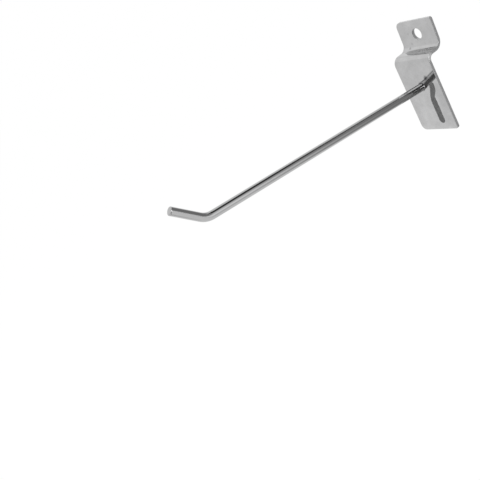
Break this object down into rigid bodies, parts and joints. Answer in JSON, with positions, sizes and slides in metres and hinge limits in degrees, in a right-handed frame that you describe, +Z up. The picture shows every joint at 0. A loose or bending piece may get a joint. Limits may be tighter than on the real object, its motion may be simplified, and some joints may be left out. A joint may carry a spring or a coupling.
{
  "type": "slatwall hook",
  "caption": "Straight display hook for slatted wall panels: a stepped sheet back plate with a holed tab, and a round chromed rod welded to it that ends in an upturned tip.",
  "frame": {"origin": "on the plate's back face, where it lies against the wall, on the centre line and level with the rod's root", "axes": "+Z up, the rod reaches out along -Y, +Y into the wall, +X across the plate"},
  "size_m": [0.025, 0.165, 0.0562],
  "materials": {
    "plate_chrome": "chrome plating over rolled sheet, softly blurred, with a dull run below the rod's root",
    "rod_chrome": "bright chrome plating over drawn wire",
    "weld_chrome": "chrome plating over a small weld, slightly uneven"
  },
  "bodies": {
    "root": {"back_plate": "plate_chrome", "hook_rod": "rod_chrome", "weld_bead": "weld_chrome"}
  },
  "joints": []
}
